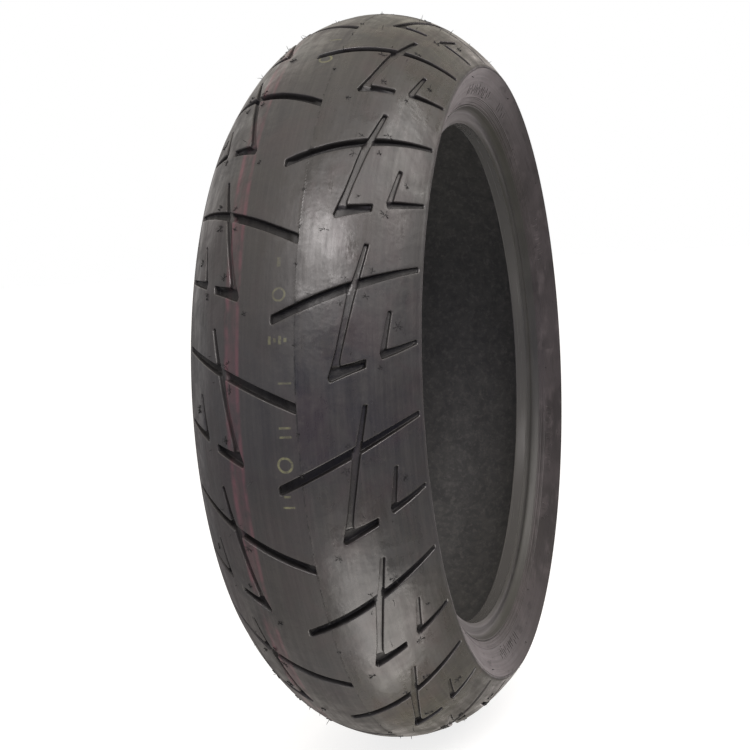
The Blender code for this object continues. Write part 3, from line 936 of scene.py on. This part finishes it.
def tread_material():
    n = Nodes("tread_rubber_fine")
    streak = n.streaks(420.0, 5.0, 4.0, 0.6)
    cloud = n.noise(9.0, 4.0, 0.6, 0.4)
    grain = n.noise(900.0, 3.0, 0.7)
    speck = n.noise(160.0, 5.0, 0.75)
    tint = n.streaks(26.0, 6.0, 3.0, 0.6, 0.6)
    colour = n.mix(n.ramp(cloud, 0.35, 0.65), (0.0210, 0.0198, 0.0192), (0.0218, 0.0218, 0.0235))
    colour = n.mix(n.ramp(tint, 0.44, 0.68, 0.0, 0.45), colour, (0.0300, 0.0200, 0.0225))
    colour = n.mix(n.ramp(streak, 0.35, 0.75, 0.0, 0.32), colour, (0.050, 0.046, 0.044))
    colour = n.mix(n.ramp(speck, 0.58, 0.78, 0.0, 0.45), colour, (0.055, 0.050, 0.046))
    # Dark flash along the mould line.
    off = n.size(n.minus(n.y, PARTING_ARC))
    torn = n.ramp(n.streaks(300.0, 60.0, 3.0), 0.42, 0.60)
    seam = n.times(n.ramp(off, 0.00030, 0.00095, 0.8, 0.0), torn)
    colour = n.mix(seam, colour, (0.006, 0.006, 0.006))
    left = n.ramp(n.y, PARTING_ARC - 0.0003, PARTING_ARC + 0.0003)
    colour = n.mix(n.ramp(left, 0.0, 1.0, 0.30, 0.0), colour, (0.0180, 0.0167, 0.0168))
    outside = n.ramp(n.radius, 0.2555, 0.2565)
    # Two wavering paint lines that run round the tread, and plain ink marks near its middle.
    waver = n.streaks(4.0, 2.2, 2.0)
    shift = n.times(n.minus(waver, 0.5), 0.004)
    fade = n.ramp(n.streaks(60.0, 9.0, 3.0, 0.7), 0.32, 0.62)
    for y0, wide, amount in ((-0.0452, 0.0030, 0.42), (-0.0350, 0.0026, 0.36),
                             (-0.0408, 0.0085, 0.20)):
        off = n.size(n.minus(n.minus(n.y, y0), shift))
        mask = n.times(n.ramp(off, wide * 0.15, wide, amount, 0.0), fade)
        colour = n.mix(mask, colour, (0.125, 0.036, 0.052))
    marks = 0.0
    for kind, table in ((ring_mark, RING_MARKS), (bar_mark, BAR_MARKS)):
        for y0, degrees, a, b, ink in table:
            mask = n.times(kind(n, y0, math.radians(degrees), a, b), ink)
            marks = n.math("MAXIMUM", marks, mask)
    worn = n.ramp(n.noise(260.0, 4.0, 0.7), 0.30, 0.62, 0.12, 0.50)
    colour = n.mix(n.times(marks, worn), colour, (0.185, 0.185, 0.085))
    smear = n.streaks(110.0, 3.0, 4.0, 0.65)
    patch = n.noise(38.0, 4.0, 0.65, 0.6)
    smear = n.plus(n.ramp(smear, 0.3, 0.7, -0.08, 0.08), n.ramp(patch, 0.3, 0.7, -0.11, 0.11))
    rough = n.plus(smear, n.ramp(streak, 0.3, 0.75, 0.36, 0.31))
    rough = n.plus(rough, n.ramp(left, 0.0, 1.0, 0.14, 0.0))
    rough = n.plus(rough, n.ramp(speck, 0.5, 0.8, 0.0, 0.08))
    rough = n.math("MAXIMUM", rough, n.ramp(outside, 0.0, 1.0, 0.6, 0.0))
    wing = n.ramp(n.size(n.y), 0.0888, 0.0898)
    rough = n.plus(rough, n.times(wing, 0.2))
    # Painted highlight: the rounded lips of the grooves get a lighter colour where light catches
    # them; their smoother finish is real.
    lip_highlight = n.add("ShaderNodeAttribute", attribute_name="lip_highlight").outputs["Fac"]
    lip_highlight_patches = n.times(lip_highlight, n.ramp(n.noise(55.0, 3.0), 0.35, 0.60))
    colour = n.mix(n.times(lip_highlight_patches, 0.5), colour, (0.075, 0.070, 0.068))
    rough = n.minus(rough, n.times(lip_highlight, 0.16))
    # Painted shade: the grooves are darkened to near black where shade falls inside them; their
    # rougher finish is real.
    groove = n.add("ShaderNodeAttribute", attribute_name="groove").outputs["Fac"]
    colour = n.mix(n.times(groove, 0.90), colour, (0.004, 0.0035, 0.0035))
    rough = n.plus(rough, n.times(groove, 0.22))
    normal = n.bump(n.streaks(900.0, 30.0, 2.0), 0.18, 0.00010)
    normal = n.bump(grain, 0.30, 0.00012, normal)
    normal = n.bump(n.noise(45.0, 3.0), 0.65, 0.0014, normal)
    normal = n.bump(n.streaks(150.0, 20.0, 3.0), 0.30, 0.0004, normal)
    return n.finish(colour, rough, normal)


def wall_material():
    n = Nodes("sidewall_rubber_fine")
    cloud = n.noise(14.0, 4.0, 0.6, 0.5)
    grain = n.noise(1100.0, 2.0, 0.6)
    turn = n.streaks(700.0, 3.0, 3.0)
    speck = n.noise(220.0, 5.0, 0.8)
    colour = n.mix(n.ramp(cloud, 0.35, 0.65), (0.0218, 0.0185, 0.0190), (0.0365, 0.0306, 0.0322))
    colour = n.mix(n.ramp(speck, 0.62, 0.78, 0.0, 0.4), colour, (0.055, 0.050, 0.047))
    scuff = n.streaks(60.0, 9.0, 5.0, 0.7)
    colour = n.mix(n.ramp(scuff, 0.48, 0.70, 0.0, 0.6), colour, (0.068, 0.0560, 0.0595))
    stain = n.ramp(n.streaks(150.0, 11.0, 3.0, 0.6), 0.58, 0.68)
    colour = n.mix(n.times(stain, 0.3), colour, (0.012, 0.011, 0.011))
    rough = n.plus(n.ramp(turn, 0.3, 0.7, 0.50, 0.42), n.ramp(scuff, 0.4, 0.7, 0.0, 0.08))
    rough = n.plus(rough, n.times(stain, 0.1))
    normal = n.bump(turn, 0.20, 0.00010)
    normal = n.bump(grain, 0.28, 0.00010, normal)
    normal = n.bump(cloud, 0.30, 0.0012, normal)
    return n.finish(colour, rough, normal)


def chafer_material():
    n = Nodes("chafer_rubber_fine")
    turn = n.streaks(900.0, 4.0, 3.0)
    cloud = n.noise(30.0, 3.0)
    grain = n.noise(1200.0, 2.0)
    colour = n.mix(n.ramp(cloud, 0.3, 0.7), (0.0255, 0.025, 0.0232), (0.033, 0.032, 0.0297))
    seat = n.times(n.ramp(n.radius, 0.2200, 0.2188), n.ramp(n.size(n.y), 0.0644, 0.0634))
    rough = n.minus(n.ramp(turn, 0.3, 0.7, 0.50, 0.42), n.times(seat, 0.22))
    colour = n.mix(n.times(seat, 0.7), colour, (0.072, 0.070, 0.068))
    normal = n.bump(turn, 0.10, 0.00008)
    normal = n.bump(grain, 0.12, 0.00006, normal)
    return n.finish(colour, rough, normal)


def liner_material():
    n = Nodes("liner_rubber_fine")
    blotch = n.noise(70.0, 5.0, 0.7, 0.8)
    speck = n.noise(190.0, 5.0, 0.75)
    weave = n.add("ShaderNodeTexWave", n.stretched(1.0, 1.0), bands_direction="Z")
    n.fill(weave, Scale=60.0, Distortion=1.5)
    colour = n.mix(n.ramp(blotch, 0.35, 0.7), (0.036, 0.036, 0.037), (0.052, 0.051, 0.049))
    colour = n.mix(n.ramp(speck, 0.46, 0.72, 0.0, 0.65), colour, (0.098, 0.095, 0.088))
    rough = n.ramp(blotch, 0.3, 0.7, 0.66, 0.54)
    normal = n.bump(weave.outputs[1], 0.10, 0.0004)
    normal = n.bump(blotch, 0.40, 0.0006, normal)
    normal = n.bump(speck, 0.35, 0.00025, normal)
    return n.finish(colour, rough, normal, Specular_IOR_Level=0.45)


def cord_material(name, tone, across):
    """Rubber-coated cord: fine parallel ribs, round the tyre or across it."""
    n = Nodes(name)
    rib = n.math("SINE", n.times(n.angle, 520.0) if across else n.times(n.y, 5200.0))
    dust = n.noise(300.0, 3.0)
    colour = n.mix(n.ramp(rib, -1.0, 1.0), tuple(v * 0.45 for v in tone), tone)
    colour = n.mix(n.ramp(dust, 0.5, 0.8, 0.0, 0.4), colour, (0.03, 0.03, 0.03))
    normal = n.bump(rib, 0.6, 0.0003)
    return n.finish(colour, n.ramp(dust, 0.3, 0.7, 0.72, 0.58), normal)


def plain_rubber(name, tone):
    n = Nodes(name)
    cloud = n.noise(60.0, 4.0)
    grain = n.noise(900.0, 2.0)
    colour = n.mix(n.ramp(cloud, 0.3, 0.7), tone, tuple(v * 1.35 for v in tone))
    return n.finish(colour, n.ramp(cloud, 0.3, 0.7, 0.62, 0.74), n.bump(grain, 0.3, 0.0002))


def wire_material():
    n = Nodes("bead_wire_fine")
    strand = n.math("SINE", n.times(n.plus(n.y, n.radius), 5200.0))
    tarnish = n.noise(120.0, 4.0)
    colour = n.mix(n.ramp(tarnish, 0.35, 0.7), (0.50, 0.40, 0.27), (0.30, 0.24, 0.17))
    rough = n.ramp(tarnish, 0.3, 0.7, 0.30, 0.48)
    return n.finish(colour, rough, n.bump(strand, 0.7, 0.0003), Metallic=0.95)


# ---- assembly
def paint(piece, mat):
    piece.data.materials.clear()
    piece.data.materials.append(mat)


def dress(piece, mat, slot, *nodes):
    paint(piece, mat)
    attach(piece, "root")
    if nodes:
        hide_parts(*nodes)


def build_tyre():
    wall = wall_material()
    chafer = chafer_material()
    dress(build_tread(), tread_material(), "tread_rubber", "tread_cap")
    # The stubs get a darker rubber: its darker colour is painted shade on them, while its matte
    # finish is real.
    dress(build_stubs(), plain_rubber("stub_rubber_fine", (0.010, 0.010, 0.010)), "tread_rubber")
    dress(build_wall_marks(), wall, "sidewall_rubber")
    for side, piece in build_sidewalls().items():
        dress(piece, wall, "sidewall_rubber", "sidewall_" + side)
    for side, piece in build_chafers().items():
        dress(piece, chafer, "chafer_rubber", "chafer_" + side)
    dress(build_liner(), liner_material(), "liner_rubber", "inner_liner")
    kept = {
        "tread_base": plain_rubber("tread_base_fine", (0.030, 0.029, 0.029)),
        "crown_belt": cord_material("belt_cord_fine", (0.120, 0.100, 0.070), False),
        "carcass_ply": cord_material("ply_cord_fine", (0.160, 0.120, 0.075), True),
    }
    filler = plain_rubber("filler_fine", (0.025, 0.025, 0.027))
    wire = wire_material()
    for side in ("left", "right"):
        kept["bead_filler_" + side] = filler
        kept["bead_core_" + side] = wire
    for node, mat in kept.items():
        paint(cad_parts[node], mat)


# ---- stage, light, camera
LENS = 78.90
AZIMUTH = math.radians(106.39)
ELEVATION = math.radians(5.0)
ROLL = math.radians(-3.323)
DISTANCE = 1.4646
AIM_RIGHT = -0.0263
AIM_UP = 0.0015


def level_axes(ahead):
    """Right and up of a view with a level horizon."""
    right = ahead.cross(Vector((0, 0, 1))).normalized()
    return right, right.cross(ahead)


def build_camera():
    back = Vector((math.sin(AZIMUTH) * math.cos(ELEVATION),
                   -math.cos(AZIMUTH) * math.cos(ELEVATION), math.sin(ELEVATION)))
    right, up = level_axes(-back)
    place = back * DISTANCE
    ahead = (right * AIM_RIGHT + up * AIM_UP - place).normalized()
    right, up = level_axes(ahead)
    c, s = math.cos(ROLL), math.sin(ROLL)
    right, up = right * c + up * s, up * c - right * s
    data = bpy.data.cameras.new("camera")
    data.lens = LENS
    data.sensor_width = 36.0
    camera = add_object("camera", data)
    matrix = camera.matrix_world.copy()
    for i, axis in enumerate((right, up, -ahead, place)):
        for row in range(3):
            matrix[row][i] = axis[row]
    camera.matrix_world = matrix
    bpy.context.scene.camera = camera


def area_light(name, place, target, wide, tall, radiance, colour):
    """Soft box of an even brightness, aimed at a point."""
    data = bpy.data.lights.new(name, "AREA")
    data.shape = "RECTANGLE"
    data.size = wide
    data.size_y = tall
    data.energy = radiance * math.pi * wide * tall
    data.color = colour
    light = add_object(name, data)
    light.location = place
    aim = Vector(target) - Vector(place)
    light.rotation_euler = aim.to_track_quat("-Z", "Y").to_euler()
    light.visible_camera = False


def build_stage():
    """Pale floor that fades into a white surround, and soft light."""
    floor_z = cad_low[2] - 0.0005
    count = 64
    verts = [(20 * math.cos(k * math.tau / count), 20 * math.sin(k * math.tau / count), floor_z)
             for k in range(count)]
    floor = make_mesh("floor", verts, [list(range(count))])
    floor.data.materials.append(Nodes("floor_white").finish(
        (0.30, 0.30, 0.30), 0.9, Emission_Strength=0.80, Emission_Color=(1.0, 1.0, 1.0)))
    floor.visible_glossy = False

    # The surround is bright above, below and to one side, and darker level with the tyre.
    world = bpy.data.worlds.new("studio")
    world.use_nodes = True
    w = Nodes(world.node_tree)
    x, y, z = w.x, w.y, w.z
    height = w.size(w.minus(z, 0.18))
    side = w.times(w.ramp(y, -0.15, -0.75), w.ramp(height, 0.55, 0.2))
    level = w.mix(w.ramp(x, 0.92, 0.70), (0.035, 0.052, 0.225), (0.085, 0.088, 0.230))
    level = w.mix(w.ramp(x, 0.35, -0.35), level, (0.14, 0.127, 0.150))
    far = w.mix(w.ramp(y, -0.10, 0.05), (1.00, 0.93, 0.88), (1.74, 1.55, 1.56))
    level = w.mix(w.ramp(x, -0.80, -0.96), level, far)
    above = w.mix(w.ramp(y, -0.14, -0.42), (0.61, 0.570, 0.46), (1.21, 1.14, 1.00))
    above = w.mix(w.ramp(x, -0.20, -0.65), (1.02, 0.95, 0.85), above)
    colour = w.mix(w.ramp(z, -0.02, 0.60), level, above)
    below = w.times(w.ramp(x, 0.10, -0.30), w.ramp(y, -0.25, -0.08))
    below = w.times(below, w.ramp(x, -0.80, -0.60))
    below = w.mix(below, (0.67, 0.62, 0.57), (0.44, 0.395, 0.27))
    below = w.mix(w.ramp(y, 0.10, 0.60), below, (0.38, 0.355, 0.28))
    colour = w.mix(w.ramp(z, -0.16, -0.62), colour, below)
    flank = w.mix(w.ramp(x, -0.35, -0.75), (0.80, 0.77, 0.75), (1.60, 1.53, 1.48))
    colour = w.mix(w.times(side, 0.6), colour, flank)
    path = w.add("ShaderNodeLightPath")
    colour = w.mix(path.outputs["Is Camera Ray"], colour, (1.0, 1.0, 1.0))
    w.put(w.tree.nodes["Background"].inputs[0], colour)
    bpy.context.scene.world = world
    bpy.context.scene.view_settings.view_transform = "Standard"

    area_light("key", (1.58, 0.38, 1.42), (0.20, 0.03, 0.10), 1.40, 0.80, 9.5, (1.0, 0.95, 0.95))
    area_light("side_soft", (-0.15, 1.55, 1.60), (0, 0, 0), 1.2, 1.0, 3.6, (1.0, 0.96, 0.93))
    area_light("top_soft", (0.60, 0.85, 1.55), (0.1, 0, 0.1), 0.9, 0.8, 1.6, (1.0, 0.96, 0.95))
    area_light("flank_soft", (0.72, 1.42, 0.95), (0.1, 0, 0.1), 0.8, 0.8, 1.2, (1.0, 0.96, 0.95))
    area_light("bounce", (0.34, 0.13, -0.312), (0.34, 0.13, 1.0), 0.30, 0.20, 3.4,
               (1.0, 0.945, 0.90))


build_tyre()
build_stage()
build_camera()
